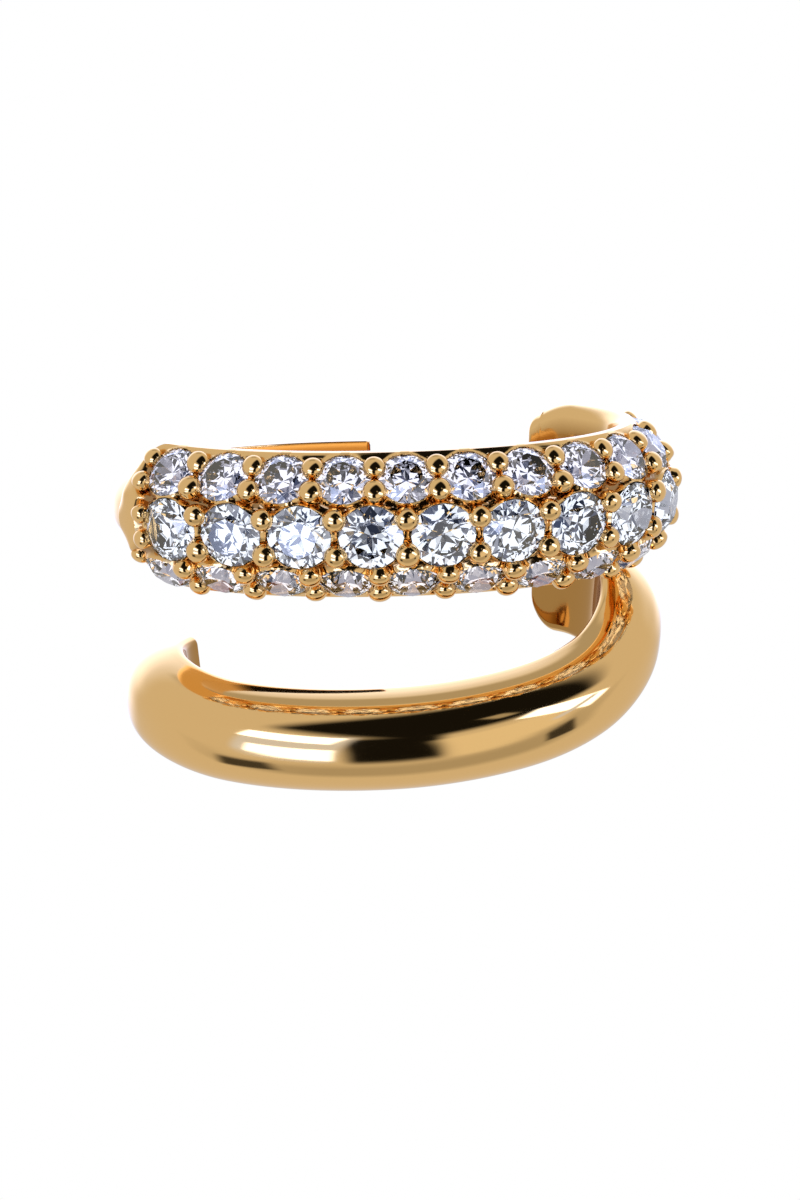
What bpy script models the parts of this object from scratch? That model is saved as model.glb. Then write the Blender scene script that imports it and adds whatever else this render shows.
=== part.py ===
"""Ear cuff: a domed pave band over a plain polished band, joined at the back right.

The cuff is drawn standing, with its opening upright and its front towards -Y, and is then laid on
the level as it comes to rest by itself. The joined end is on the +X side.
A place on the cuff is given by three things: an angle round the ear opening (0 at the front,
growing to the right), a height up the leaning wall, and a distance out from the inner wall.
"""

import math
from collections import namedtuple

import bmesh
import bpy
from mathutils import Matrix, Vector

MM = 0.001

# The ear opening is an oval, and the whole wall round it leans out upwards.
OPENING_WIDTH = 9.9 * MM
OPENING_DEPTH = 6.0 * MM
WALL_LEAN = math.radians(6.0)
INNER_CHAMFER = 0.16 * MM

# The pave band: the girdles of its three rows touch a circle of DOME_RADIUS, whose outermost point
# is GIRDLE_LEVEL out from the inner wall. The metal has a flat under each row.
PAVE_HEIGHT = 3.24 * MM
PAVE_START = math.radians(-72.0)
PAVE_END = math.radians(140.0)
GIRDLE_LEVEL = 1.30 * MM
DOME_RADIUS = 1.61 * MM
SIDE_ROW_TURN = math.radians(45.0)
METAL_OVER_GIRDLE = 0.03 * MM
DOME_BLEND = 0.14 * MM
PAVE_CAP_LENGTH = 1.15 * MM
PAVE_CAP_END_SHARE = 0.45
PAVE_CAP_SINK = 0.12 * MM
PAVE_CAP_STATIONS = (0.0, 0.12, 0.32, 0.6, 1.0)
PAVE_DROP_LENGTH = 1.30 * MM
PAVE_DROP = 0.42 * MM
PAVE_DROP_STATIONS = (0.5, 0.2, 0.0)

# The tail carries the pave band on round the back, thinner and narrower, to a cut end.
TAIL_START = math.radians(-56.0)
TAIL_END = math.radians(-176.0)
TAIL_ROOT_HEIGHT = 1.74 * MM
TAIL_TIP_HEIGHT = 1.36 * MM
TAIL_ROOT_THICKNESS = 1.22 * MM
TAIL_TIP_THICKNESS = 1.00 * MM
TAIL_FULLNESS = 2.3

# The plain band is a full D section. It hangs below the pave band and climbs to it on the right.
PLAIN_HEIGHT = 2.24 * MM
PLAIN_THICKNESS = 1.45 * MM
PLAIN_FULLNESS = 2.5
PLAIN_START = math.radians(-111.0)
PLAIN_END = math.radians(137.5)
PLAIN_CORNER = 0.90 * MM
PLAIN_CORNER_STATIONS = (0.7, 0.4, 0.15, 0.0)
BAND_GAP = 2.16 * MM
JOINT_OVERLAP = 0.30 * MM
LEAST_CHAMFER = 0.02 * MM

# Stones and their seats. A lead is how far a row's first stone is from the band's left end, and a
# trail how far its last one keeps from the right end.
CENTRE_STONE = 1.40 * MM
SIDE_STONE = 1.18 * MM
CENTRE_PITCH = 1.553 * MM
UPPER_PITCH = 1.345 * MM
LOWER_PITCH = 1.422 * MM
CENTRE_LEAD = 1.77 * MM
UPPER_LEAD = 1.45 * MM
LOWER_LEAD = 0.98 * MM
ROW_TRAIL = 1.40 * MM
LOWER_TRAIL = 2.80 * MM
CENTRE_BEAD_OFFSET = 0.40 * MM
SIDE_BEAD_OFFSET = 0.33 * MM
SEAT_CLEARANCE = 0.03 * MM
SEAT_WALL = 0.08 * MM
TABLE_SHARE = 0.57
CROWN_SHARE = 0.15
STAR_DROP_SHARE = 0.42
GIRDLE_SHARE = 0.025
PAVILION_SHARE = 0.43
LOWER_HALF_REACH = 0.30
LOWER_HALF_DEPTH = 0.77
BEAD_RADIUS = 0.25 * MM
BEAD_STEM = 0.30 * MM
END_RIM = 0.26 * MM

# Facets, stations and faces round a piece.
BRILLIANT_FOLDS = 8
SEAT_SIDES = 16
BEAD_SIDES = 8
STATION_STEP = 0.50 * MM
DOME_POINTS = 9
PLAIN_POINTS = 11
ARC_STEPS = 720
WELD = 0.0005 * MM

# Weights, for the balance point: yellow gold alloy and zirconia.
GOLD_DENSITY = 13000.0
STONE_DENSITY = 5800.0

GOLD = (0.83, 0.60, 0.29)
STONE = (0.86, 0.87, 0.93)

# A row of stones: its turn on the dome, the stone, the pitch along the row, its lead and trail, and
# how far the two beads between neighbours stand off the row's line. The lower row ends where the
# plain band comes up to it.
Row = namedtuple("Row", "name turn stone pitch lead trail bead_offset")
ROWS = (
    Row("centre_stone", 0.0, CENTRE_STONE, CENTRE_PITCH, CENTRE_LEAD, ROW_TRAIL,
        CENTRE_BEAD_OFFSET),
    Row("upper_stone", SIDE_ROW_TURN, SIDE_STONE, UPPER_PITCH, UPPER_LEAD, ROW_TRAIL,
        SIDE_BEAD_OFFSET),
    Row("lower_stone", -SIDE_ROW_TURN, SIDE_STONE, LOWER_PITCH, LOWER_LEAD, LOWER_TRAIL,
        SIDE_BEAD_OFFSET),
)

# The plain band's route: the angle round the opening, and how far the band has climbed there, as
# a share of the whole climb to the joined end.
Climb = namedtuple("Climb", "angle share")
PLAIN_CLIMB = (
    Climb(-111.0, 0.18),
    Climb(-85.0, 0.17),
    Climb(-45.0, 0.02),
    Climb(0.0, 0.00),
    Climb(35.0, 0.12),
    Climb(60.0, 0.31),
    Climb(80.0, 0.57),
    Climb(100.0, 0.84),
    Climb(120.0, 0.98),
    Climb(140.0, 1.00),
)


# Places on the cuff

def wall_axes(angle):
    """The inner wall's point at an angle, with the directions out of the wall and up it."""
    half_width = OPENING_WIDTH / 2
    half_depth = OPENING_DEPTH / 2
    origin = Vector((half_width * math.sin(angle), -half_depth * math.cos(angle), 0.0))
    level = Vector((math.sin(angle) / half_width, -math.cos(angle) / half_depth, 0.0)).normalized()
    rise = Vector((0.0, 0.0, 1.0))
    outward = level * math.cos(WALL_LEAN) - rise * math.sin(WALL_LEAN)
    upward = level * math.sin(WALL_LEAN) + rise * math.cos(WALL_LEAN)
    return origin, outward, upward


def place(angle, height, out):
    """A point of the cuff."""
    origin, outward, upward = wall_axes(angle)
    return origin + outward * out + upward * height


class Track:
    """Distances along the cuff at a fixed height and distance out, zero at the front."""

    def __init__(self, height, out):
        self.angles = []
        self.lengths = []
        run = 0.0
        last = None
        for step in range(-ARC_STEPS, ARC_STEPS + 1):
            angle = math.pi * step / ARC_STEPS
            point = place(angle, height, out)
            if last is not None:
                run += (point - last).length
            last = point
            self.angles.append(angle)
            self.lengths.append(run)
        front = self.lengths[ARC_STEPS]
        self.lengths = [length - front for length in self.lengths]

    def length_at(self, angle):
        return interpolate(self.angles, self.lengths, angle)

    def angle_at(self, length):
        return interpolate(self.lengths, self.angles, length)


def interpolate(keys, values, key):
    """The value at a key, on straight lines between rising keys."""
    low = 0
    high = len(keys) - 1
    while high - low > 1:
        middle = (low + high) // 2
        if keys[middle] <= key:
            low = middle
        else:
            high = middle
    share = (key - keys[low]) / (keys[high] - keys[low])
    share = min(max(share, 0.0), 1.0)
    return values[low] + (values[high] - values[low]) * share


def smooth_interpolate(keys, values, key):
    """The value at a key, on a smooth curve through all the points."""
    spot = 0
    while spot < len(keys) - 2 and keys[spot + 1] <= key:
        spot += 1
    before = max(spot - 1, 0)
    after = min(spot + 2, len(keys) - 1)
    span = keys[spot + 1] - keys[spot]
    slope_low = (values[spot + 1] - values[before]) / (keys[spot + 1] - keys[before])
    slope_high = (values[after] - values[spot]) / (keys[after] - keys[spot])
    t = min(max((key - keys[spot]) / span, 0.0), 1.0)
    hermite = (2 * t**3 - 3 * t**2 + 1) * values[spot]
    hermite += (t**3 - 2 * t**2 + t) * span * slope_low
    hermite += (3 * t**2 - 2 * t**3) * values[spot + 1]
    hermite += (t**3 - t**2) * span * slope_high
    return hermite


# Sections, as (out, height) points from the lower inner corner round to the upper one

def skin(height):
    """How far out the pave band's metal lies: a flat under each row, with rounded ridges between."""
    radius = DOME_RADIUS + METAL_OVER_GIRDLE
    under_side_row = (radius - abs(height) * math.sin(SIDE_ROW_TURN)) / math.cos(SIDE_ROW_TURN)
    apart = abs(radius - under_side_row)
    rounding = max(DOME_BLEND - apart, 0.0) ** 2 / (4 * DOME_BLEND)
    return GIRDLE_LEVEL - DOME_RADIUS + min(radius, under_side_row) - rounding


def dome_section(low, high, low_chamfer, sink):
    """The pave band's section between two heights, with its skin sunk by some distance."""
    points = [(0.0, low + low_chamfer), (low_chamfer, low)]
    for step in range(DOME_POINTS):
        height = low + (high - low) * step / (DOME_POINTS - 1)
        points.append((skin(height) - sink, height))
    points += [(INNER_CHAMFER, high), (0.0, high - INNER_CHAMFER)]
    return points


def full_section(low, high, thickness, fullness, high_chamfer):
    """A D section between two heights. Its fullness is 2 for an ellipse, and more for a fuller D."""
    middle = (low + high) / 2
    half = (high - low) / 2
    points = [(0.0, low + INNER_CHAMFER)]
    for step in range(PLAIN_POINTS):
        turn = math.pi * (step / (PLAIN_POINTS - 1) - 0.5)
        out = thickness * max(math.cos(turn), 0.0) ** (2 / fullness)
        up = half * math.copysign(abs(math.sin(turn)) ** (2 / fullness), math.sin(turn))
        chamfer = INNER_CHAMFER if turn < 0 else high_chamfer
        points.append((max(out, chamfer), middle + up))
    points.append((0.0, high - high_chamfer))
    return points


def joined_share(angle):
    """How far the plain band has climbed at an angle, from 0 at the front to 1 where it is joined."""
    angles = [math.radians(climb.angle) for climb in PLAIN_CLIMB]
    shares = [climb.share for climb in PLAIN_CLIMB]
    return smooth_interpolate(angles, shares, angle)


def joint_chamfer(angle):
    """The chamfers that face each other on the two bands shrink as the bands meet."""
    return max(INNER_CHAMFER * (1 - max(joined_share(angle), 0.0)), LEAST_CHAMFER)


# Solids

def new_object(name, mesh_maker, colour, roughness, metallic):
    """A named object with its own mesh and its own Principled material."""
    mesh = bpy.data.meshes.new(name)
    mesh_maker.to_mesh(mesh)
    mesh_maker.free()
    piece = bpy.data.objects.new(name, mesh)
    bpy.context.scene.collection.objects.link(piece)
    material = bpy.data.materials.new(name)
    material.use_nodes = True
    shader = material.node_tree.nodes["Principled BSDF"]
    shader.inputs["Base Color"].default_value = (*colour, 1.0)
    shader.inputs["Roughness"].default_value = roughness
    shader.inputs["Metallic"].default_value = metallic
    mesh.materials.append(material)
    return piece


def add_rings(maker, rings):
    """A closed skin over rings of points, each ring as long as the next, with flat caps."""
    loops = [[maker.verts.new(point) for point in ring] for ring in rings]
    count = len(loops[0])
    for lower, upper in zip(loops, loops[1:]):
        for side in range(count):
            after = (side + 1) % count
            maker.faces.new((lower[side], lower[after], upper[after], upper[side]))
    maker.faces.new(list(reversed(loops[0])))
    maker.faces.new(loops[-1])


def sweep(angles, section_at):
    """A band through its sections at a list of angles."""
    maker = bmesh.new()
    rings = []
    for angle in angles:
        rings.append([place(angle, height, out) for out, height in section_at(angle)])
    add_rings(maker, rings)
    bmesh.ops.recalc_face_normals(maker, faces=maker.faces)
    return maker


def spread(first, last, marks=()):
    """Lengths from first to last, about STATION_STEP apart, with the marks put in among them."""
    count = max(2, round(abs(last - first) / STATION_STEP))
    lengths = [first + (last - first) * step / count for step in range(count + 1)]
    room = STATION_STEP / 4
    lengths = [spot for spot in lengths if all(abs(spot - mark) > room for mark in marks)]
    return sorted(lengths + list(marks))


def pave_body():
    """The pave band, with a rounded left end and a right end whose upper corner drops a little."""
    track = Track(0.0, GIRDLE_LEVEL)
    left = track.length_at(PAVE_START)
    right = track.length_at(PAVE_END)
    reach = PAVE_CAP_LENGTH * math.sqrt(1 - PAVE_CAP_END_SHARE**2)
    cap = [left + reach * share for share in PAVE_CAP_STATIONS]
    corner = [right - PAVE_DROP_LENGTH * share for share in PAVE_DROP_STATIONS]
    lengths = [spot for spot in spread(left, right, cap + corner) if spot in cap or spot > cap[-1]]

    def section_at(angle):
        spot = track.length_at(angle)
        inset = max(cap[-1] - spot, 0.0) / PAVE_CAP_LENGTH
        half = PAVE_HEIGHT / 2 * math.sqrt(1 - inset**2)
        near_end = min(max(1 - (right - spot) / PAVE_DROP_LENGTH, 0.0), 1.0)
        high = half - PAVE_DROP * near_end**2
        return dome_section(-half, high, joint_chamfer(angle), PAVE_CAP_SINK * inset**2)

    return sweep([track.angle_at(spot) for spot in lengths], section_at)


def tail_body():
    """The tail, from its cut end at the back to inside the pave band."""
    track = Track(0.0, TAIL_ROOT_THICKNESS)
    tip = track.length_at(TAIL_END)
    root = track.length_at(TAIL_START)

    def section_at(angle):
        share = (track.length_at(angle) - tip) / (root - tip)
        half = (TAIL_TIP_HEIGHT + (TAIL_ROOT_HEIGHT - TAIL_TIP_HEIGHT) * share) / 2
        thickness = TAIL_TIP_THICKNESS + (TAIL_ROOT_THICKNESS - TAIL_TIP_THICKNESS) * share
        return full_section(-half, half, thickness, TAIL_FULLNESS, INNER_CHAMFER)

    return sweep([track.angle_at(spot) for spot in spread(tip, root)], section_at)


def plain_body():
    """The plain band, from its cut end at the back left to the joined end at the back right."""
    front_middle = -PAVE_HEIGHT / 2 - BAND_GAP - PLAIN_HEIGHT / 2
    joined_middle = -PAVE_HEIGHT / 2 - PLAIN_HEIGHT / 2 + JOINT_OVERLAP
    track = Track(0.0, PLAIN_THICKNESS)
    right = track.length_at(PLAIN_END)
    corner = [right - PLAIN_CORNER * share for share in PLAIN_CORNER_STATIONS]
    lengths = spread(track.length_at(PLAIN_START), right, corner)

    def section_at(angle):
        middle = front_middle + (joined_middle - front_middle) * joined_share(angle)
        near_end = min(max(1 - (right - track.length_at(angle)) / PLAIN_CORNER, 0.0), 1.0)
        lift = PLAIN_CORNER * (1 - math.sqrt(1 - near_end**2))
        low = middle - PLAIN_HEIGHT / 2 + lift
        high = middle + PLAIN_HEIGHT / 2
        return full_section(low, high, PLAIN_THICKNESS, PLAIN_FULLNESS, joint_chamfer(angle))

    return sweep([track.angle_at(spot) for spot in lengths], section_at)


# Stones, seats and beads, all made about their own upright axis and then set on the dome

def turned(maker, profile, sides, setting, phase=0.0):
    """A turned solid from (radius, level) points, with a point at each end of radius zero."""
    loops = []
    for radius, level in profile[1:-1]:
        loop = []
        for side in range(sides):
            turn = phase + 2 * math.pi * side / sides
            spot = Vector((radius * math.cos(turn), radius * math.sin(turn), level))
            loop.append(maker.verts.new(setting @ spot))
        loops.append(loop)
    bottom = maker.verts.new(setting @ Vector((0.0, 0.0, profile[0][1])))
    top = maker.verts.new(setting @ Vector((0.0, 0.0, profile[-1][1])))
    for side in range(sides):
        after = (side + 1) % sides
        maker.faces.new((bottom, loops[0][after], loops[0][side]))
        maker.faces.new((top, loops[-1][side], loops[-1][after]))
    for lower, upper in zip(loops, loops[1:]):
        for side in range(sides):
            after = (side + 1) % sides
            maker.faces.new((lower[side], lower[after], upper[after], upper[side]))


def brilliant(size):
    """A round brilliant with its girdle at level zero: table, stars, kites, halves and pavilion."""
    maker = bmesh.new()
    folds = BRILLIANT_FOLDS
    step = 2 * math.pi / folds
    half = size / 2
    rim = size * GIRDLE_SHARE / 2
    crown = rim + size * CROWN_SHARE
    culet = -rim - size * PAVILION_SHARE
    table = half * TABLE_SHARE
    star = (table + half) / 2
    star_level = crown - (crown - rim) * STAR_DROP_SHARE

    def ring(radius, level, count, phase):
        spots = []
        for number in range(count):
            turn = phase + 2 * math.pi * number / count
            spots.append(maker.verts.new((radius * math.cos(turn), radius * math.sin(turn), level)))
        return spots

    table_ring = ring(table, crown, folds, 0.0)
    star_ring = ring(star, star_level, folds, step / 2)
    upper_rim = ring(half, rim, 2 * folds, 0.0)
    lower_rim = ring(half, -rim, 2 * folds, 0.0)
    pavilion_ring = ring(half * LOWER_HALF_REACH, culet * LOWER_HALF_DEPTH, folds, step / 2)
    point = maker.verts.new((0.0, 0.0, culet))
    maker.faces.new(table_ring)
    for number in range(folds):
        after = (number + 1) % folds
        before = number - 1
        left_rim = upper_rim[2 * number]
        mid_rim = upper_rim[2 * number + 1]
        right_rim = upper_rim[(2 * number + 2) % (2 * folds)]
        maker.faces.new((table_ring[number], star_ring[number], table_ring[after]))
        maker.faces.new((star_ring[before], left_rim, star_ring[number], table_ring[number]))
        maker.faces.new((star_ring[number], left_rim, mid_rim))
        maker.faces.new((star_ring[number], mid_rim, right_rim))
        low_left = lower_rim[2 * number]
        low_mid = lower_rim[2 * number + 1]
        low_right = lower_rim[(2 * number + 2) % (2 * folds)]
        maker.faces.new((low_left, low_mid, mid_rim, left_rim))
        maker.faces.new((low_mid, low_right, right_rim, mid_rim))
        maker.faces.new((pavilion_ring[number], low_mid, low_left))
        maker.faces.new((pavilion_ring[number], low_right, low_mid))
        maker.faces.new((pavilion_ring[before], pavilion_ring[number], low_left))
        maker.faces.new((point, pavilion_ring[number], pavilion_ring[before]))
    bmesh.ops.recalc_face_normals(maker, faces=maker.faces)
    return maker


def seat_profile(size):
    """A seat's cutter: the stone's shape with room round it, and walls that rise past the metal."""
    clear = SEAT_CLEARANCE
    half = size / 2 + clear
    rim = size * GIRDLE_SHARE / 2 + clear / 2
    crown = size * (GIRDLE_SHARE / 2 + CROWN_SHARE) + 2 * clear
    table = size / 2 * TABLE_SHARE + 2 * clear
    culet = -size * (GIRDLE_SHARE / 2 + PAVILION_SHARE) - 1.5 * clear
    return [(0.0, culet), (half, -rim), (half, SEAT_WALL), (table, crown), (0.0, crown)]


def bead_profile():
    """A bead prong: a stem sunk in the metal, and a round head."""
    radius = BEAD_RADIUS
    bend = math.radians(36.0)
    return [
        (0.0, -BEAD_STEM),
        (0.8 * radius, -BEAD_STEM),
        (radius, 0.0),
        (radius * math.cos(bend), radius * math.sin(bend)),
        (radius * math.cos(2 * bend), radius * math.sin(2 * bend)),
        (0.0, radius),
    ]


def row_line(row):
    """A row's height up the wall and distance out, at its girdles."""
    height = DOME_RADIUS * math.sin(row.turn)
    out = GIRDLE_LEVEL - DOME_RADIUS + DOME_RADIUS * math.cos(row.turn)
    return height, out


def setting_at(row, angle, shift=0.0, level=0.0):
    """The frame of a stone or bead: its own Z out of the dome, and its Y up across the row."""
    _, outward, upward = wall_axes(angle)
    height, out = row_line(row)
    axis = outward * math.cos(row.turn) + upward * math.sin(row.turn)
    across = upward * math.cos(row.turn) - outward * math.sin(row.turn)
    along = across.cross(axis)
    spot = place(angle, height, out) + across * shift + axis * level
    frame = Matrix((along, across, axis)).transposed().to_4x4()
    frame.translation = spot
    return frame


def row_stones(row):
    """The settings of a row's stones, and of the beads before, between and after them."""
    height, out = row_line(row)
    track = Track(height, out)
    left = track.length_at(PAVE_START)
    right = track.length_at(PAVE_END)
    count = int((right - left - row.lead - row.trail) / row.pitch) + 1
    stones = []
    beads = []
    for number in range(count + 1):
        spot = left + row.lead + row.pitch * number
        between = spot - row.pitch / 2
        if number < count:
            stones.append(setting_at(row, track.angle_at(spot)))
        for side in (-1, 1):
            rise = abs(height + side * row.bead_offset * math.cos(row.turn))
            inset = max(left + PAVE_CAP_LENGTH - between, 0.0) / PAVE_CAP_LENGTH
            room = PAVE_HEIGHT / 2 * math.sqrt(1 - min(inset, 1.0) ** 2) - END_RIM
            if rise < room and between < right - END_RIM:
                shift = side * row.bead_offset
                beads.append(setting_at(row, track.angle_at(between), shift, METAL_OVER_GIRDLE))
    return stones, beads


# Boolean work

def combine(target, maker, operation):
    """Joins a solid to the target or cuts it out, and leaves the result in the target's mesh."""
    tool = new_object("cutter", maker, GOLD, 0.2, 1.0)
    tool.hide_render = True
    tool.display_type = "WIRE"
    step = target.modifiers.new("combine", "BOOLEAN")
    step.operation = operation
    step.solver = "EXACT"
    step.object = tool
    depsgraph = bpy.context.evaluated_depsgraph_get()
    result = bpy.data.meshes.new_from_object(target.evaluated_get(depsgraph))
    target.modifiers.remove(step)
    old = target.data
    target.data = result
    bpy.data.meshes.remove(old)
    scrap = tool.data
    bpy.data.objects.remove(tool)
    bpy.data.meshes.remove(scrap)


def keep_largest(piece):
    """Closes gaps finer than the cutting and drops the crumbs that neighbouring cuts set free."""
    maker = bmesh.new()
    maker.from_mesh(piece.data)
    bmesh.ops.remove_doubles(maker, verts=maker.verts, dist=WELD)
    unseen = set(maker.verts)
    islands = []
    while unseen:
        stack = [unseen.pop()]
        island = set(stack)
        while stack:
            corner = stack.pop()
            for edge in corner.link_edges:
                other = edge.other_vert(corner)
                if other not in island:
                    island.add(other)
                    unseen.discard(other)
                    stack.append(other)
        islands.append(island)
    islands.sort(key=len)
    crumbs = [corner for island in islands[:-1] for corner in island]
    bmesh.ops.delete(maker, geom=crumbs, context="VERTS")
    maker.to_mesh(piece.data)
    maker.free()


# The resting place

def tetra_sums(piece):
    """A piece's volume, and its volume times its centre."""
    mesh = piece.data
    mesh.calc_loop_triangles()
    volume = 0.0
    moment = Vector((0.0, 0.0, 0.0))
    for triangle in mesh.loop_triangles:
        a, b, c = (piece.matrix_basis @ mesh.vertices[corner].co for corner in triangle.vertices)
        part = a.dot(b.cross(c)) / 6
        volume += part
        moment += (a + b + c) * (part / 4)
    return volume, moment


def resting_matrix(frame, stones):
    """The turn and shift that lay the cuff, as drawn, on the level where it comes to rest."""
    volume, moment = tetra_sums(frame)
    weight = volume * GOLD_DENSITY
    balance = moment * GOLD_DENSITY
    for stone in stones:
        volume, moment = tetra_sums(stone)
        weight += volume * STONE_DENSITY
        balance += moment * STONE_DENSITY
    balance /= weight
    hull = bmesh.new()
    for corner in frame.data.vertices:
        hull.verts.new(corner.co)
    made = bmesh.ops.convex_hull(hull, input=hull.verts)
    faces = [item for item in made["geom"] if isinstance(item, bmesh.types.BMFace)]
    best = None
    for face in faces:
        face.normal_update()
        normal = face.normal.copy()
        if normal.dot(face.calc_center_median() - balance) < 0:
            normal.negate()
        drop = normal.dot(face.verts[0].co - balance)
        foot = balance + normal * drop
        corners = [corner.co for corner in face.verts]
        turns = []
        for start, finish in zip(corners, corners[1:] + corners[:1]):
            turns.append((finish - start).cross(foot - start).dot(normal))
        inside = all(turn >= 0 for turn in turns) or all(turn <= 0 for turn in turns)
        if inside and (best is None or normal.z < best.z):
            best = normal
    hull.free()
    turn = best.rotation_difference(Vector((0.0, 0.0, -1.0))).to_matrix().to_4x4()
    spots = [turn @ corner.co for corner in frame.data.vertices]
    for stone in stones:
        spots += [turn @ (stone.matrix_basis @ corner.co) for corner in stone.data.vertices]
    low = Vector([min(spot[axis] for spot in spots) for axis in range(3)])
    high = Vector([max(spot[axis] for spot in spots) for axis in range(3)])
    foot = Vector(((low.x + high.x) / 2, (low.y + high.y) / 2, low.z))
    return Matrix.Translation(-foot) @ turn


# The cuff

def make_cuff():
    for old in list(bpy.data.objects):
        bpy.data.objects.remove(old)
    frame = new_object("cuff_frame", pave_body(), GOLD, 0.12, 1.0)
    combine(frame, tail_body(), "UNION")
    combine(frame, plain_body(), "UNION")
    stones = []
    seated = []
    for row in ROWS:
        stone_settings, bead_settings = row_stones(row)
        seated += [(row.stone, setting) for setting in stone_settings]
        beads = bmesh.new()
        for setting in bead_settings:
            turned(beads, bead_profile(), BEAD_SIDES, setting, math.pi / BEAD_SIDES)
        bmesh.ops.recalc_face_normals(beads, faces=beads.faces)
        combine(frame, beads, "UNION")
        for number, setting in enumerate(stone_settings, 1):
            stone = new_object(f"{row.name}_{number:02d}", brilliant(row.stone), STONE, 0.03, 0.0)
            stone.matrix_basis = setting
            stones.append(stone)
    for size, setting in seated:
        cutter = bmesh.new()
        turned(cutter, seat_profile(size), SEAT_SIDES, setting)
        bmesh.ops.recalc_face_normals(cutter, faces=cutter.faces)
        combine(frame, cutter, "DIFFERENCE")
    keep_largest(frame)
    frame.data.set_sharp_from_angle(angle=math.radians(30.0))
    rest = bpy.data.objects.new("resting_place", None)
    bpy.context.scene.collection.objects.link(rest)
    rest.matrix_basis = resting_matrix(frame, stones)
    for piece in [frame] + stones:
        piece.parent = rest
    bpy.context.view_layer.update()


make_cuff()
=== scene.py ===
"""Ear cuff: a pave band of three rows of stones over a mirror-polished plain band.

Each section makes one part of the cuff, in the order in which a maker puts it together. The cuff is
drawn standing, as in its CAD source, and every mesh is then laid down by the matrix LYING.
"""

import math

import bmesh
import bpy
import numpy as np
from mathutils import Matrix, Vector


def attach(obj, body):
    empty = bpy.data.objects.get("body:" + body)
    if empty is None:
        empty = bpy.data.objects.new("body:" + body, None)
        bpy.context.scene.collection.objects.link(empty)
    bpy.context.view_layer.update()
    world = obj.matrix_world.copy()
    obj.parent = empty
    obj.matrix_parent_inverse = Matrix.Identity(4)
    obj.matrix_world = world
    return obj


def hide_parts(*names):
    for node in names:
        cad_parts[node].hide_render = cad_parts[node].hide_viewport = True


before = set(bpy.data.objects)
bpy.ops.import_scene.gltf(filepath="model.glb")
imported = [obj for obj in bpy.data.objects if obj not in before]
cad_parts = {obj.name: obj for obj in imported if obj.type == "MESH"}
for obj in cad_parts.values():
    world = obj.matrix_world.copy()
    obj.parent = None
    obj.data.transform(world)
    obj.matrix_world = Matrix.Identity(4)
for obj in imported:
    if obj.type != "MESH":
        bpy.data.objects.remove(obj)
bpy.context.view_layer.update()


# How the cuff lies, and the camera. The cuff rests on the plain band's edge, so everything that is
# drawn standing is turned until that side faces down, and is then lifted onto the table. The
# camera keeps the photograph's angle to the cuff, a long way off with a long lens.

MM = 0.001
UNDERSIDE = Vector((0.148661, 0.434366, -0.888384))
TABLE_SHIFT = Vector((0.000004, 0.001082, 0.004720))
LYING = Matrix.Translation(TABLE_SHIFT) @ (
    UNDERSIDE.rotation_difference(Vector((0.0, 0.0, -1.0))).to_matrix().to_4x4()
)

CAMERA_DISTANCE = 100 * MM
CAMERA_RISE = math.radians(11.9)
CAMERA_ROLL = math.radians(1.308)
CAMERA_AIM = Vector((0.25 * MM, 0.0, -2.411 * MM))
PHOTO_SCALE = 44.756
PHOTO_HEIGHT = 1200
SENSOR = 36.0

level = Vector((1.0, 0.0, 0.0))
upright = Vector((0.0, math.sin(CAMERA_RISE), math.cos(CAMERA_RISE)))
into = Vector((0.0, math.cos(CAMERA_RISE), -math.sin(CAMERA_RISE)))
across = level * math.cos(CAMERA_ROLL) - upright * math.sin(CAMERA_ROLL)
upwards = level * math.sin(CAMERA_ROLL) + upright * math.cos(CAMERA_ROLL)
stand = Matrix((across, upwards, -into)).transposed().to_4x4()
stand.translation = CAMERA_AIM - into * CAMERA_DISTANCE

lens = bpy.data.cameras.new("camera")
lens.sensor_width = SENSOR
lens.lens = PHOTO_SCALE * CAMERA_DISTANCE / MM * SENSOR / PHOTO_HEIGHT
lens.clip_start = 1 * MM
camera = bpy.data.objects.new("camera", lens)
bpy.context.scene.collection.objects.link(camera)
camera.matrix_world = LYING @ stand
bpy.context.scene.camera = camera
bpy.context.scene.view_settings.view_transform = "Standard"


# The table and the light. A white table that is pure white to the camera, under a studio of a pale
# dome, dark cards round and above the camera, and softboxes. Everything polished mirrors it, and
# the stones see a brighter ring of light of their own.

TABLE_SIZE = 1.2
TABLE_GREY = 0.80
TABLE_GLOW = 1.0
DOME_GREY = (0.67, 0.67, 0.69)
STONE_SKY = (1.48, 1.52, 1.60)
# Light that has gone through a stone has a Transmission Depth above this.
THROUGH_STONE = 0.5

# The lamps are cool, so that polished gold turns to cream in them and not to yellow.
GREY = (1.0, 1.0, 1.0)
COOL = (0.86, 1.05, 1.75)
MILD = (0.93, 1.05, 1.50)

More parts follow.
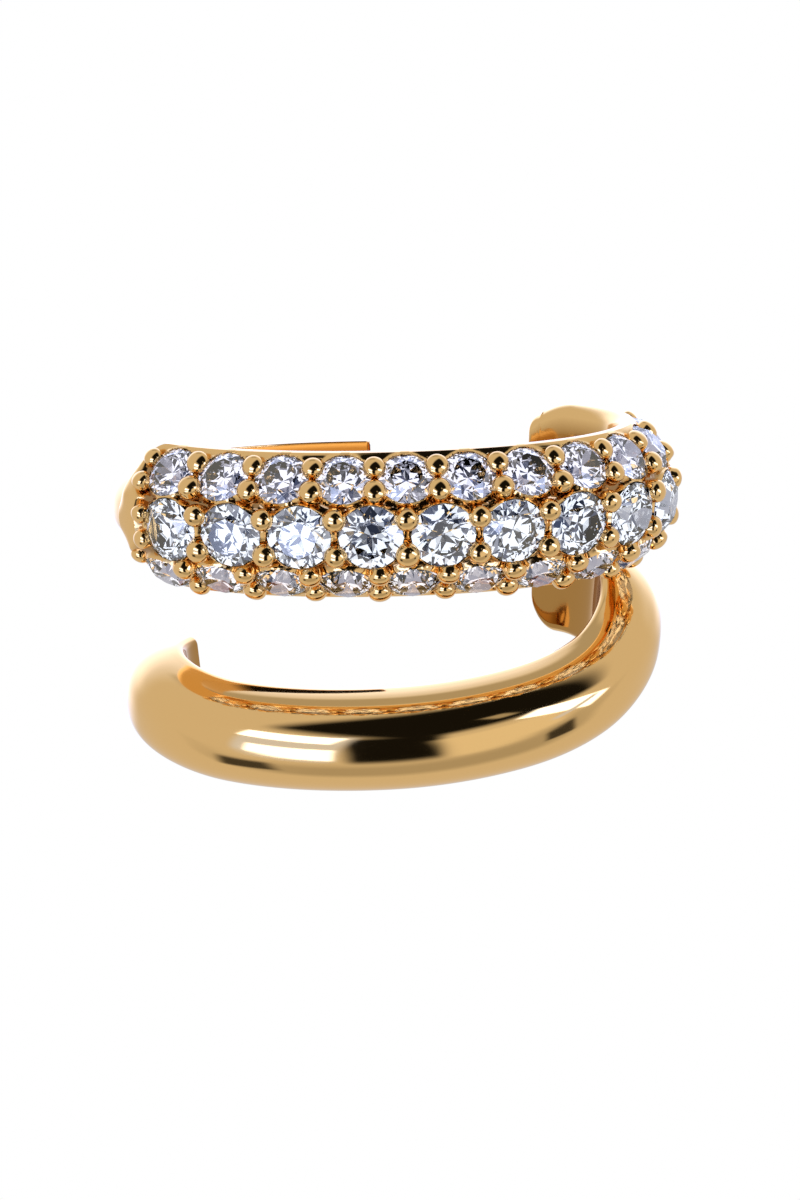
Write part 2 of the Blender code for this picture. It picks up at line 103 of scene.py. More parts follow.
# Each softbox or dark card: azimuth from the front and elevation in degrees, half width and half
# height in degrees, tilt in degrees, softness of its edges as a share, brightness and colour.
STUDIO_CARDS = (
    ("table_front", 5.0, -27.0, 60.0, 15.0, 0.0, 0.60, 0.44, GREY),
    ("back_glow", 180.0, -4.0, 46.0, 30.0, 0.0, 0.45, 1.0, MILD),
    ("brown_back", 178.0, 38.0, 14.0, 10.0, 0.0, 0.35, 0.45, GREY),
    ("white_backdrop", 184.0, -12.0, 40.0, 25.0, 0.0, 0.40, 1.5, MILD),
    ("dark_ceiling", 42.0, 60.0, 39.0, 32.0, 0.0, 0.20, 0.008, GREY),
    ("dark_camera", 0.0, 13.0, 14.0, 20.0, 4.0, 0.24, 0.008, GREY),
    ("left_window_glow", -33.0, 20.0, 18.0, 22.0, 8.0, 0.15, 0.80, COOL),
    ("left_window_high", -33.5, 33.0, 16.5, 8.0, 12.0, 0.08, 2.8, COOL),
    ("left_window_low", -32.5, 5.5, 14.5, 6.0, 6.0, 0.10, 2.6, COOL),
    ("right_window_glow", 33.0, 3.0, 20.0, 14.0, 0.0, 0.25, 0.80, GREY),
    ("right_window", 60.0, 12.0, 8.0, 20.0, -32.0, 0.14, 2.8, COOL),
    ("right_window_bar", 60.0, 2.0, 12.0, 2.5, -20.0, 0.20, 0.80, COOL),
    ("dark_left_corner", -49.0, -17.0, 10.0, 8.0, 0.0, 0.35, 0.06, GREY),
    ("dark_right_corner", 50.0, -21.0, 6.0, 6.0, 0.0, 0.30, 0.05, GREY),
    ("warm_lamp", 45.0, 44.0, 3.5, 5.0, 0.0, 0.50, 0.40, GREY),
)

# The stones' own ring of light, with the dark lens and a few dark bars.
STONE_CARDS = (
    ("lens", 4.6, 37.5, 17.0, 17.0, 0.0, 0.10, 0.03, COOL),
    ("bar_left", -52.0, 30.0, 13.0, 34.0, 12.0, 0.10, 0.10, COOL),
    ("bar_right", 60.0, 30.0, 13.0, 34.0, -12.0, 0.10, 0.10, COOL),
    ("bar_high", 180.0, 68.0, 60.0, 7.0, 0.0, 0.10, 0.40, COOL),
    ("bar_low", 4.0, -6.0, 60.0, 8.0, 0.0, 0.10, 0.04, COOL),
)


def table_material():
    paint = bpy.data.materials.new("table_white")
    paint.use_nodes = True
    nodes = paint.node_tree.nodes
    links = paint.node_tree.links
    nodes.clear()
    matt = nodes.new("ShaderNodeBsdfDiffuse")
    matt.inputs["Color"].default_value = (TABLE_GREY, TABLE_GREY, TABLE_GREY, 1.0)
    glow = nodes.new("ShaderNodeEmission")
    glow.inputs["Strength"].default_value = TABLE_GLOW
    seen = nodes.new("ShaderNodeLightPath")
    pick = nodes.new("ShaderNodeMixShader")
    out = nodes.new("ShaderNodeOutputMaterial")
    links.new(seen.outputs["Is Camera Ray"], pick.inputs[0])
    links.new(matt.outputs[0], pick.inputs[1])
    links.new(glow.outputs[0], pick.inputs[2])
    links.new(pick.outputs[0], out.inputs["Surface"])
    return paint


def make_table():
    half = TABLE_SIZE / 2
    sheet = bpy.data.meshes.new("table")
    corners = [(-half, -half, 0.0), (half, -half, 0.0), (half, half, 0.0), (-half, half, 0.0)]
    sheet.from_pydata(corners, [], [(0, 1, 2, 3)])
    sheet.materials.append(table_material())
    table = bpy.data.objects.new("table", sheet)
    bpy.context.scene.collection.objects.link(table)
    table.visible_glossy = False
    table.visible_transmission = False


def card_group():
    """A mask that is 1 inside a rectangle of directions, with soft edges."""
    group = bpy.data.node_groups.new("studio_card", "ShaderNodeTree")
    face = group.interface
    for name in ("Direction", "Middle", "Side", "Up"):
        face.new_socket(name, in_out="INPUT", socket_type="NodeSocketVector")
    for name in ("Half Width", "Half Height", "Softness"):
        face.new_socket(name, in_out="INPUT", socket_type="NodeSocketFloat")
    face.new_socket("Mask", in_out="OUTPUT", socket_type="NodeSocketFloat")
    nodes = group.nodes
    links = group.links
    given = nodes.new("NodeGroupInput")
    made = nodes.new("NodeGroupOutput")

    def dot(name):
        node = nodes.new("ShaderNodeVectorMath")
        node.operation = "DOT_PRODUCT"
        links.new(given.outputs["Direction"], node.inputs[0])
        links.new(given.outputs[name], node.inputs[1])
        return node.outputs["Value"]

    def maths(operation, first, second=None):
        node = nodes.new("ShaderNodeMath")
        node.operation = operation
        for socket, value in zip(node.inputs, (first, second)):
            if value is None:
                continue
            if isinstance(value, (int, float)):
                socket.default_value = value
            else:
                links.new(value, socket)
        return node.outputs[0]

    ahead = dot("Middle")
    masks = []
    for name, size in (("Side", "Half Width"), ("Up", "Half Height")):
        angle = maths("ABSOLUTE", maths("ARCTAN2", dot(name), ahead))
        share = maths("DIVIDE", angle, given.outputs[size])
        ramp = nodes.new("ShaderNodeMapRange")
        ramp.interpolation_type = "SMOOTHSTEP"
        ramp.inputs["To Min"].default_value = 1.0
        ramp.inputs["To Max"].default_value = 0.0
        links.new(share, ramp.inputs["Value"])
        links.new(maths("SUBTRACT", 1.0, given.outputs["Softness"]), ramp.inputs["From Min"])
        links.new(maths("ADD", 1.0, given.outputs["Softness"]), ramp.inputs["From Max"])
        masks.append(ramp.outputs["Result"])
    links.new(maths("MULTIPLY", masks[0], masks[1]), made.inputs["Mask"])
    return group


def add_cards(tree, group, direction, base, cards):
    """Lays cards over a plain grey, each one over the last."""
    shade = None
    for name, azimuth, elevation, half_width, half_height, tilt, softness, glow, hue in cards:
        turn = Matrix.Rotation(math.radians(azimuth), 3, "Z")
        turn = turn @ Matrix.Rotation(-math.radians(elevation), 3, "X")
        turn = turn @ Matrix.Rotation(math.radians(tilt), 3, "Y")
        card = tree.nodes.new("ShaderNodeGroup")
        card.node_tree = group
        card.name = name
        tree.links.new(direction, card.inputs["Direction"])
        card.inputs["Middle"].default_value = turn @ Vector((0.0, -1.0, 0.0))
        card.inputs["Side"].default_value = turn @ Vector((1.0, 0.0, 0.0))
        card.inputs["Up"].default_value = turn @ Vector((0.0, 0.0, 1.0))
        card.inputs["Half Width"].default_value = math.radians(half_width)
        card.inputs["Half Height"].default_value = math.radians(half_height)
        card.inputs["Softness"].default_value = softness
        mix = tree.nodes.new("ShaderNodeMix")
        mix.data_type = "RGBA"
        tree.links.new(card.outputs["Mask"], mix.inputs["Factor"])
        if shade is None:
            mix.inputs["A"].default_value = (*base, 1.0)
        else:
            tree.links.new(shade, mix.inputs["A"])
        mix.inputs["B"].default_value = (*(glow * share for share in hue), 1.0)
        shade = mix.outputs["Result"]
    return shade


def make_studio():
    world = bpy.data.worlds.new("studio")
    world.use_nodes = True
    bpy.context.scene.world = world
    tree = world.node_tree
    nodes = tree.nodes
    links = tree.links
    nodes.clear()
    place = nodes.new("ShaderNodeTexCoord")
    group = card_group()
    metal_sky = add_cards(tree, group, place.outputs["Generated"], DOME_GREY, STUDIO_CARDS)
    stone_sky = add_cards(tree, group, place.outputs["Generated"], STONE_SKY, STONE_CARDS)
    seen = nodes.new("ShaderNodeLightPath")
    in_stone = nodes.new("ShaderNodeMath")
    in_stone.operation = "GREATER_THAN"
    in_stone.inputs[1].default_value = THROUGH_STONE
    links.new(seen.outputs["Transmission Depth"], in_stone.inputs[0])
    sky = nodes.new("ShaderNodeMix")
    sky.data_type = "RGBA"
    links.new(in_stone.outputs[0], sky.inputs["Factor"])
    links.new(metal_sky, sky.inputs["A"])
    links.new(stone_sky, sky.inputs["B"])
    studio = nodes.new("ShaderNodeBackground")
    links.new(sky.outputs["Result"], studio.inputs["Color"])
    plain = nodes.new("ShaderNodeBackground")
    plain.inputs["Color"].default_value = (1.0, 1.0, 1.0, 1.0)
    pick = nodes.new("ShaderNodeMixShader")
    out = nodes.new("ShaderNodeOutputWorld")
    links.new(seen.outputs["Is Camera Ray"], pick.inputs[0])
    links.new(studio.outputs[0], pick.inputs[1])
    links.new(plain.outputs[0], pick.inputs[2])
    links.new(pick.outputs[0], out.inputs["Surface"])


make_table()
make_studio()


# The plain band, a bar of D section in yellow gold, mirror polished. It is bent round the oval
# opening, cut off at the back left, and climbs at the right to where it is soldered to the pave
# band. Its inner edges are rounded so that it slides on to an ear.

HALF_WIDTH = 9.9 * MM / 2
HALF_DEPTH = 6.0 * MM / 2
WALL_LEAN = math.radians(6.0)
ARC_STEPS = 2880
PLAIN_HEIGHT = 2.24 * MM
PLAIN_THICKNESS = 1.45 * MM
PLAIN_FULLNESS = 2.5
PLAIN_START = math.radians(-111.0)
PLAIN_END = math.radians(137.5)
PLAIN_CORNER = 0.90 * MM
PLAIN_EDGE = 0.20 * MM
PLAIN_ROLL = 0.45 * MM
PLAIN_ROLL_LENGTH = 0.60 * MM
CUT_EDGE = 0.12 * MM
SOLDER_STEP = 0.004 * MM
PAVE_HEIGHT = 3.24 * MM
BAND_GAP = 2.16 * MM
JOINT_OVERLAP = 0.30 * MM
PLAIN_CLIMB = (
    (-111.0, 0.18),
    (-85.0, 0.17),
    (-45.0, 0.02),
    (0.0, 0.00),
    (35.0, 0.12),
    (60.0, 0.31),
    (80.0, 0.57),
    (100.0, 0.84),
    (120.0, 0.98),
    (140.0, 1.00),
)
PLAIN_STATION = 0.11 * MM
PLAIN_POINTS = 64
CORNER_CROWDING = 0.12
EDGE_POINTS = 9
INNER_POINTS = 6
END_POINTS = 7
TINY = 1e-12
SHARP_DEGREES = 35.0

GOLD = (0.95, 0.60, 0.235, 1.0)
# The darker gold is painted shade, laid on the inner side that faces the ear.
INNER_SHADE_GOLD = (0.50, 0.26, 0.07, 1.0)
GOLD_ROUGHNESS = 0.055
GOLD_SPREAD = 0.02
GOLD_RELIEF = 0.05
PATCH_SCALE = 400.0
PATCH_DETAIL = 3.0
PATCH_RANGE = (0.3, 0.7)
HAIRLINE_SCALE = 9000.0
HAIRLINE_DETAIL = 2.0
HAIRLINE_STRETCH = (0.25, 1.0, 3.0)
HAIRLINE_HEIGHT = 0.002 * MM


def wall(angle):
    """The inner wall's points at some angles, with the directions out of the wall and up it."""
    angle = np.asarray(angle, float)
    zero = np.zeros_like(angle)
    origin = np.stack((HALF_WIDTH * np.sin(angle), -HALF_DEPTH * np.cos(angle), zero), -1)
    flat = np.stack((np.sin(angle) / HALF_WIDTH, -np.cos(angle) / HALF_DEPTH, zero), -1)
    flat /= np.linalg.norm(flat, axis=-1, keepdims=True)
    rise = np.array((0.0, 0.0, 1.0))
    outward = flat * math.cos(WALL_LEAN) - rise * math.sin(WALL_LEAN)
    upward = flat * math.sin(WALL_LEAN) + rise * math.cos(WALL_LEAN)
    return origin, outward, upward


def on_cuff(angle, height, out):
    """Points of the standing cuff."""
    origin, outward, upward = wall(angle)
    return origin + outward * np.asarray(out)[..., None] + upward * np.asarray(height)[..., None]


def track(height, out):
    """Angles round the cuff and the distances along it at one height and depth, 0 at the front."""
    angles = np.linspace(-math.pi, math.pi, 2 * ARC_STEPS + 1)
    points = on_cuff(angles, np.full_like(angles, height), np.full_like(angles, out))
    steps = np.linalg.norm(np.diff(points, axis=0), axis=1)
    lengths = np.concatenate(((0.0,), np.cumsum(steps)))
    return angles, lengths - lengths[ARC_STEPS]


def climb(angle):
    """How far the plain band has climbed, from 0 at the front to 1 where it is joined."""
    keys = np.radians([row[0] for row in PLAIN_CLIMB])
    values = np.array([row[1] for row in PLAIN_CLIMB])
    slopes = np.empty_like(values)
    slopes[1:-1] = (values[2:] - values[:-2]) / (keys[2:] - keys[:-2])
    slopes[0] = (values[1] - values[0]) / (keys[1] - keys[0])
    slopes[-1] = (values[-1] - values[-2]) / (keys[-1] - keys[-2])
    spot = np.clip(np.searchsorted(keys, angle, side="right") - 1, 0, len(keys) - 2)
    span = keys[spot + 1] - keys[spot]
    t = np.clip((angle - keys[spot]) / span, 0.0, 1.0)
    share = (2 * t**3 - 3 * t**2 + 1) * values[spot]
    share += (t**3 - 2 * t**2 + t) * span * slopes[spot]
    share += (3 * t**2 - 2 * t**3) * values[spot + 1]
    share += (t**3 - t**2) * span * slopes[spot + 1]
    return share


def round_section(low, high, thickness, fullness, edge):
    """A D section with rounded inner edges, from its lower inner edge round the outside."""
    middle = (low + high) / 2
    half = (high - low) / 2
    widest = math.acos((edge / thickness) ** (fullness / 2))
    turn = np.linspace(-widest, widest, PLAIN_POINTS + 2)[1:-1]
    turn = turn - CORNER_CROWDING * np.sin(turn / widest * math.pi)
    out = thickness * np.cos(turn) ** (2 / fullness)
    up = half * np.sign(turn) * np.abs(np.sin(turn)) ** (2 / fullness)
    bent = np.linspace(0.0, math.pi / 2, EDGE_POINTS)
    corner_out = edge * (1 - np.sin(bent))
    corner_up = half - edge * (1 - np.cos(bent))
    wall_up = np.linspace(half - edge, edge - half, INNER_POINTS + 2)[1:-1]
    outs = np.concatenate((corner_out[::-1], out, corner_out, np.zeros(INNER_POINTS)))
    ups = np.concatenate((-corner_up[::-1], up, corner_up, wall_up))
    return np.stack((outs, middle + ups), -1)


def shrink(section, amount):
    """A closed section moved inwards all round."""
    ahead = np.roll(section, -1, axis=0) - np.roll(section, 1, axis=0)
    normal = np.stack((ahead[:, 1], -ahead[:, 0]), -1)
    normal /= np.maximum(np.linalg.norm(normal, axis=1, keepdims=True), TINY)
    return section - normal * amount


def end_inset(spot, first, last, first_edge, last_edge):
    """How much a section shrinks near rounded ends."""
    inset = 0.0
    for room, edge in ((spot - first, first_edge), (last - spot, last_edge)):
        if room < edge:
            inset += edge - math.sqrt(max(edge**2 - (edge - room) ** 2, 0.0))
    return inset


def end_spots(first, last, step, first_edge, last_edge):
    """Lengths from end to end, packed closer where the ends are rounded."""
    bend = 1 - np.cos(np.linspace(0.0, math.pi / 2, END_POINTS))
    middle = np.arange(first + first_edge + step / 2, last - last_edge - step / 4, step)
    return np.concatenate((first + first_edge * bend, middle, (last - last_edge * bend)[::-1]))


def nearness(room, length):
    """0 farther from an end than some length, and 1 at the end."""
    return min(max(1 - room / length, 0.0), 1.0)


def roll_off(share):
    """The fall of a quarter circle, from 0 to 1."""
    return 1 - math.sqrt(1 - share**2)


def lay_down(points):
    """Takes points of the standing cuff to where it lies on the table."""
    turn = np.array(LYING.to_3x3())
    return points @ turn.T + np.array(LYING.translation)


def skin_of(name, grid, material, sharp_degrees):
    """A closed smooth piece from rings of points, with a flat face at each end."""
    rows, sides = grid.shape[:2]
    corners = lay_down(grid.reshape(-1, 3))
    index = np.arange(rows * sides).reshape(rows, sides)
    after = np.roll(index, -1, axis=1)
    quads = np.stack((index[:-1], after[:-1], after[1:], index[1:]), -1).reshape(-1, 4)
    faces = quads.tolist() + [index[0][::-1].tolist(), index[-1].tolist()]
    mesh = bpy.data.meshes.new(name)
    mesh.from_pydata(corners.tolist(), [], faces)
    maker = bmesh.new()
    maker.from_mesh(mesh)
    bmesh.ops.recalc_face_normals(maker, faces=maker.faces)
    bmesh.ops.triangulate(maker, faces=[face for face in maker.faces if len(face.verts) > 4])
    maker.to_mesh(mesh)
    maker.free()
    mesh.shade_smooth()
    mesh.set_sharp_from_angle(angle=math.radians(sharp_degrees))
    mesh.materials.append(material)
    piece = bpy.data.objects.new(name, mesh)
    bpy.context.scene.collection.objects.link(piece)
    return piece


def mark(piece, name, values):
    """Keeps a value for every point of a piece, for its material to read."""
    kept = piece.data.attributes.new(name, "FLOAT", "POINT")
    kept.data.foreach_set("value", np.asarray(values, np.float32).ravel())


def polish_group():
    """What a polishing wheel leaves: patches that are a little duller, and very fine hairlines."""
    group = bpy.data.node_groups.new("polish_marks", "ShaderNodeTree")
    face = group.interface
    for name in ("Patch Scale", "Hairline Scale", "Roughness", "Spread"):
        face.new_socket(name, in_out="INPUT", socket_type="NodeSocketFloat")
    for name in ("Roughness", "Height"):
        face.new_socket(name, in_out="OUTPUT", socket_type="NodeSocketFloat")
    nodes = group.nodes
    links = group.links
    given = nodes.new("NodeGroupInput")
    made = nodes.new("NodeGroupOutput")
    place = nodes.new("ShaderNodeTexCoord")
    patches = nodes.new("ShaderNodeTexNoise")
    patches.inputs["Detail"].default_value = PATCH_DETAIL
    hairlines = nodes.new("ShaderNodeTexNoise")
    hairlines.inputs["Detail"].default_value = HAIRLINE_DETAIL
    stretch = nodes.new("ShaderNodeMapping")
    stretch.inputs["Scale"].default_value = HAIRLINE_STRETCH
    links.new(place.outputs["Object"], patches.inputs["Vector"])
    links.new(place.outputs["Object"], stretch.inputs["Vector"])
    links.new(stretch.outputs["Vector"], hairlines.inputs["Vector"])
    links.new(given.outputs["Patch Scale"], patches.inputs["Scale"])
    links.new(given.outputs["Hairline Scale"], hairlines.inputs["Scale"])
    spread = nodes.new("ShaderNodeMapRange")
    spread.inputs["From Min"].default_value = PATCH_RANGE[0]
    spread.inputs["From Max"].default_value = PATCH_RANGE[1]
    rougher = nodes.new("ShaderNodeMath")
    rougher.operation = "ADD"
    links.new(patches.outputs["Fac"], spread.inputs["Value"])
    links.new(given.outputs["Spread"], spread.inputs["To Max"])
    links.new(spread.outputs["Result"], rougher.inputs[0])
    links.new(given.outputs["Roughness"], rougher.inputs[1])
    links.new(rougher.outputs[0], made.inputs["Roughness"])
    links.new(hairlines.outputs["Fac"], made.inputs["Height"])
    return group


polish_marks = polish_group()


def gold_finish(name, roughness, spread, relief):
    """Polished yellow gold, with painted shade that darkens the side that faces the ear."""
    finish = bpy.data.materials.new(name)
    finish.use_nodes = True
    nodes = finish.node_tree.nodes
    links = finish.node_tree.links
    shader = nodes["Principled BSDF"]
    inner = nodes.new("ShaderNodeAttribute")
    inner.attribute_name = "painted_inner_shade"
    colour = nodes.new("ShaderNodeMix")
    colour.data_type = "RGBA"
    colour.name = "gold_with_painted_inner_shade"
    colour.inputs["A"].default_value = GOLD
    colour.inputs["B"].default_value = INNER_SHADE_GOLD
    links.new(inner.outputs["Fac"], colour.inputs["Factor"])
    links.new(colour.outputs["Result"], shader.inputs["Base Color"])
    shader.inputs["Metallic"].default_value = 1.0
    marks = nodes.new("ShaderNodeGroup")
    marks.node_tree = polish_marks
    marks.inputs["Patch Scale"].default_value = PATCH_SCALE
    marks.inputs["Hairline Scale"].default_value = HAIRLINE_SCALE
    marks.inputs["Roughness"].default_value = roughness
    marks.inputs["Spread"].default_value = spread
    bump = nodes.new("ShaderNodeBump")
    bump.inputs["Strength"].default_value = relief
    bump.inputs["Distance"].default_value = HAIRLINE_HEIGHT
    links.new(marks.outputs["Roughness"], shader.inputs["Roughness"])
    links.new(marks.outputs["Height"], bump.inputs["Height"])
    links.new(bump.outputs["Normal"], shader.inputs["Normal"])
    return finish


def make_plain_band():
    angles, lengths = track(0.0, PLAIN_THICKNESS)
    first = np.interp(PLAIN_START, angles, lengths)
    last = np.interp(PLAIN_END, angles, lengths)
    front_middle = -PAVE_HEIGHT / 2 - BAND_GAP - PLAIN_HEIGHT / 2
    joined_middle = -PAVE_HEIGHT / 2 - PLAIN_HEIGHT / 2 + JOINT_OVERLAP
    rings = []
    depths = []
    for spot in end_spots(first, last, PLAIN_STATION, CUT_EDGE, CUT_EDGE):
        angle = float(np.interp(spot, lengths, angles))
        middle = front_middle + (joined_middle - front_middle) * float(climb(angle))
        corner = PLAIN_CORNER * roll_off(nearness(last - spot, PLAIN_CORNER))
        low = middle - PLAIN_HEIGHT / 2 + corner
        high = middle + PLAIN_HEIGHT / 2
        roll = PLAIN_ROLL * roll_off(nearness(last - spot, PLAIN_ROLL_LENGTH))
        thickness = PLAIN_THICKNESS - roll
        section = round_section(low, high, thickness, PLAIN_FULLNESS, PLAIN_EDGE)
        section = shrink(section, end_inset(spot, first, last, CUT_EDGE, CUT_EDGE))
        depths.append(section[:, 0].copy())
        section[:, 0] += SOLDER_STEP
        rings.append(on_cuff(np.full(len(section), angle), section[:, 1], section[:, 0]))
    finish = gold_finish("plain_band_gold", GOLD_ROUGHNESS, GOLD_SPREAD, GOLD_RELIEF)
    band = skin_of("plain_band", np.array(rings), finish, SHARP_DEGREES)
    # Points on the inner wall get the painted shade.
    mark(band, "painted_inner_shade", np.array(depths) < PLAIN_EDGE / 4)
    return band


plain_band = make_plain_band()
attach(plain_band, "root")
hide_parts("cuff_frame")


# The tail, a narrower polished bar that carries the pave band on round the back of the ear. It
# comes out of the pave band's rounded end and is cut off flat.

TAIL_START = math.radians(-56.0)
TAIL_END = math.radians(-176.0)
TAIL_ROOT_HEIGHT = 1.74 * MM
TAIL_TIP_HEIGHT = 1.36 * MM
TAIL_ROOT_THICKNESS = 1.22 * MM
TAIL_TIP_THICKNESS = 1.00 * MM
TAIL_FULLNESS = 2.3
TAIL_EDGE = 0.02 * MM
# How much of the painted inner shade the tail's inner wall takes.
TAIL_INNER_SHADE_SHARE = 0.15


def make_tail():
    angles, lengths = track(0.0, TAIL_ROOT_THICKNESS)
    tip = np.interp(TAIL_END, angles, lengths)
    root = np.interp(TAIL_START, angles, lengths)
    rings = []
    depths = []
    for spot in end_spots(tip, root, PLAIN_STATION, CUT_EDGE, CUT_EDGE):
        angle = float(np.interp(spot, lengths, angles))
        share = (spot - tip) / (root - tip)
        half = (TAIL_TIP_HEIGHT + (TAIL_ROOT_HEIGHT - TAIL_TIP_HEIGHT) * share) / 2
        thickness = TAIL_TIP_THICKNESS + (TAIL_ROOT_THICKNESS - TAIL_TIP_THICKNESS) * share
        section = round_section(-half, half, thickness, TAIL_FULLNESS, TAIL_EDGE)
        section = shrink(section, end_inset(spot, tip, root, CUT_EDGE, CUT_EDGE))
        depths.append(section[:, 0].copy())
        section[:, 0] += SOLDER_STEP
        rings.append(on_cuff(np.full(len(section), angle), section[:, 1], section[:, 0]))
    finish = gold_finish("tail_gold", GOLD_ROUGHNESS, GOLD_SPREAD, GOLD_RELIEF)
    bar = skin_of("tail", np.array(rings), finish, SHARP_DEGREES)
    # Points on the tail's inner wall get a little of the painted shade.
    mark(bar, "painted_inner_shade", TAIL_INNER_SHADE_SHARE * (np.array(depths) < TAIL_EDGE / 4))
    return bar


tail = make_tail()
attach(tail, "root")
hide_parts("cuff_frame")


# The pave band, cast in yellow gold with a flat for each of its three rows. A seat is drilled for
# every stone, and the metal between the stones is cut back by hand, so that thin bright edges and
# small rough hollows are left round them.

PAVE_START = math.radians(-72.0)
PAVE_END = math.radians(140.0)
GIRDLE_LEVEL = 1.30 * MM
DOME_RADIUS = 1.61 * MM
SIDE_ROW_TURN = math.radians(45.0)
METAL_OVER_GIRDLE = 0.03 * MM
DOME_BLEND = 0.14 * MM
CAP_LENGTH = 1.15 * MM
CAP_CAD_END_SHARE = 0.45
CAP_END_SHARE = 0.17
CAP_ROLL = 0.14 * MM
CAP_ROLL_SPAN = (0.88, 1.0)
CAP_ROUND_SPAN = (0.50, 0.90)
NOSE_POINTS = 30
NOSE_CROWDING = 1.4
DROP_LENGTH = 1.30 * MM
DROP = 0.42 * MM
PAVE_STATION = 0.042 * MM
SKIN_POINTS = 104
PAVE_EDGE_POINTS = 7
PAVE_SHARP_DEGREES = 30.0
LOW_EDGE = 0.14 * MM
HIGH_EDGE = 0.28 * MM
EDGES_IN_HEIGHT = 5
EDGE_OF_DEPTH = 0.8
ROUND_POWER = 2.4
END_ROLL = 0.30 * MM
END_ROLL_LENGTH = 0.55 * MM
END_ROUND_SPAN = (0.0, 0.6)
RIM_LEAST = 0.20 * MM
RIM_MORE = 0.16 * MM
SEAT_GAP = 0.012 * MM
SEAT_SLOPE = math.tan(math.radians(41.0))
SEAT_LEDGE = 0.03 * MM
SEAT_DEEPEST = 0.60 * MM
SEAT_REACH = 0.5 * MM
SNAP_SHARE = 0.55
# Distances that stand for nowhere near a stone, and for right at its edge.
FAR = 1.0
HAIR = 1e-9
LIP = 0.015 * MM
LIP_WIDTH = 0.05 * MM
HOLLOW = 0.13 * MM
HOLLOW_NEAR = (0.01 * MM, 0.11 * MM)
HOLLOW_FAR = (0.24 * MM, 0.42 * MM)
# Where hollows fade out across the band, and where hollows and lips do so at its rounded end.
HOLLOW_ACROSS = (0.86, 0.97)
HOLLOW_ON_CAP = (0.55, 0.80)
LIP_ON_CAP = (0.70, 0.90)
CRUMB = 0.006 * MM
CRUMB_WAVES = (31000, 27000, 38000, 17000)
CRUMB_PHASE = 1.3
CUT_ROUGHNESS = 0.07
CUT_SPREAD = 0.05
CUT_RELIEF = 0.2
# The brown below is painted shade for the hollows between the stones and for the seats under them.
HOLLOW_SHADE_GOLD = (0.42, 0.24, 0.10, 1.0)
# The next two are a painted reflection: where a seat is seen through a stone it glows with this
# pale colour, at this share, in place of its gold.
SEAT_PAINTED_GLOW = (0.42, 0.43, 0.51, 1.0)
SEAT_GLOW_SHARE = 0.94

CENTRE_STONE = 1.40 * MM
SIDE_STONE = 1.18 * MM
# Each row: its CAD nodes' name, turn on the dome, stone, pitch, lead and trail.
ROWS = (
    ("centre_stone", 0.0, CENTRE_STONE, 1.553 * MM, 1.77 * MM, 1.40 * MM),
    ("upper_stone", SIDE_ROW_TURN, SIDE_STONE, 1.345 * MM, 1.45 * MM, 1.40 * MM),
    ("lower_stone", -SIDE_ROW_TURN, SIDE_STONE, 1.422 * MM, 0.98 * MM, 2.80 * MM),
)


def skin(height):
    """How far out the metal lies: a flat under each row, with rounded ridges between."""
    radius = DOME_RADIUS + METAL_OVER_GIRDLE
    under_side = (radius - np.abs(height) * math.sin(SIDE_ROW_TURN)) / math.cos(SIDE_ROW_TURN)
    apart = np.abs(radius - under_side)
    rounding = np.maximum(DOME_BLEND - apart, 0.0) ** 2 / (4 * DOME_BLEND)
    return GIRDLE_LEVEL - DOME_RADIUS + np.minimum(radius, under_side) - rounding


def dome_section(low, high, sink, roundness, least):
    """The pave band's section, and which of its points are on the skin that the stones sit in."""
    heights = np.linspace(low, high, SKIN_POINTS)
    reach = np.abs(heights - (low + high) / 2) / ((high - low) / 2)
    rounded = skin(0.0) * np.maximum(1 - reach**ROUND_POWER, 0.0) ** (1 / ROUND_POWER)
    outs = (1 - roundness) * skin(heights) + roundness * rounded
    outs = np.maximum(outs - sink, least)
    low_edge = min(LOW_EDGE, (high - low) / EDGES_IN_HEIGHT, EDGE_OF_DEPTH * outs[0])
    high_edge = min(HIGH_EDGE, (high - low) / EDGES_IN_HEIGHT, EDGE_OF_DEPTH * outs[-1])
    fall = np.linspace(0.0, math.pi / 2, PAVE_EDGE_POINTS)
    across_edge = 1 - np.sin(fall)
    down_edge = 1 - np.cos(fall)
    inner = np.linspace(high - high_edge, low + low_edge, INNER_POINTS + 2)[1:-1]
    out = np.concatenate(
        (low_edge * across_edge[::-1], outs, high_edge * across_edge, np.zeros(INNER_POINTS))
    )
    up = np.concatenate(
        (low + low_edge * down_edge[::-1], heights, high - high_edge * down_edge, inner)
    )
    on_skin = np.zeros(len(out), bool)
    on_skin[PAVE_EDGE_POINTS:PAVE_EDGE_POINTS + SKIN_POINTS] = True
    return np.stack((out, up), -1), on_skin


def row_place(turn):
    """The height and depth at which a row's girdles lie."""
    height = DOME_RADIUS * math.sin(turn)
    return height, GIRDLE_LEVEL - DOME_RADIUS + DOME_RADIUS * math.cos(turn)


def setting(row, spot, shift=0.0, rise=0.0):
    """Where a stone or bead sits on its row, and the direction it faces."""
    _, turn, _, _, _, _ = row
    height, out = row_place(turn)
    angles, lengths = track(height, out)
    start = np.interp(PAVE_START, angles, lengths)
    angle = np.interp(start + spot, lengths, angles)
    _, outward, upward = wall(angle)
    axis = outward * math.cos(turn) + upward * math.sin(turn)
    side = upward * math.cos(turn) - outward * math.sin(turn)
    return on_cuff(angle, height, out) + side * shift + axis * rise, axis


def row_count(row):
    """How many stones a row holds between its lead and its trail."""
    _, turn, _, pitch, lead, trail = row
    angles, lengths = track(*row_place(turn))
    whole = np.interp(PAVE_END, angles, lengths) - np.interp(PAVE_START, angles, lengths)
    return int((whole - lead - trail) / pitch) + 1


def soft_step(low, high, value):
    """Rises smoothly from 0 at the low value to 1 at the high one."""
    t = np.clip((value - low) / (high - low), 0.0, 1.0)
    return t * t * (3 - 2 * t)


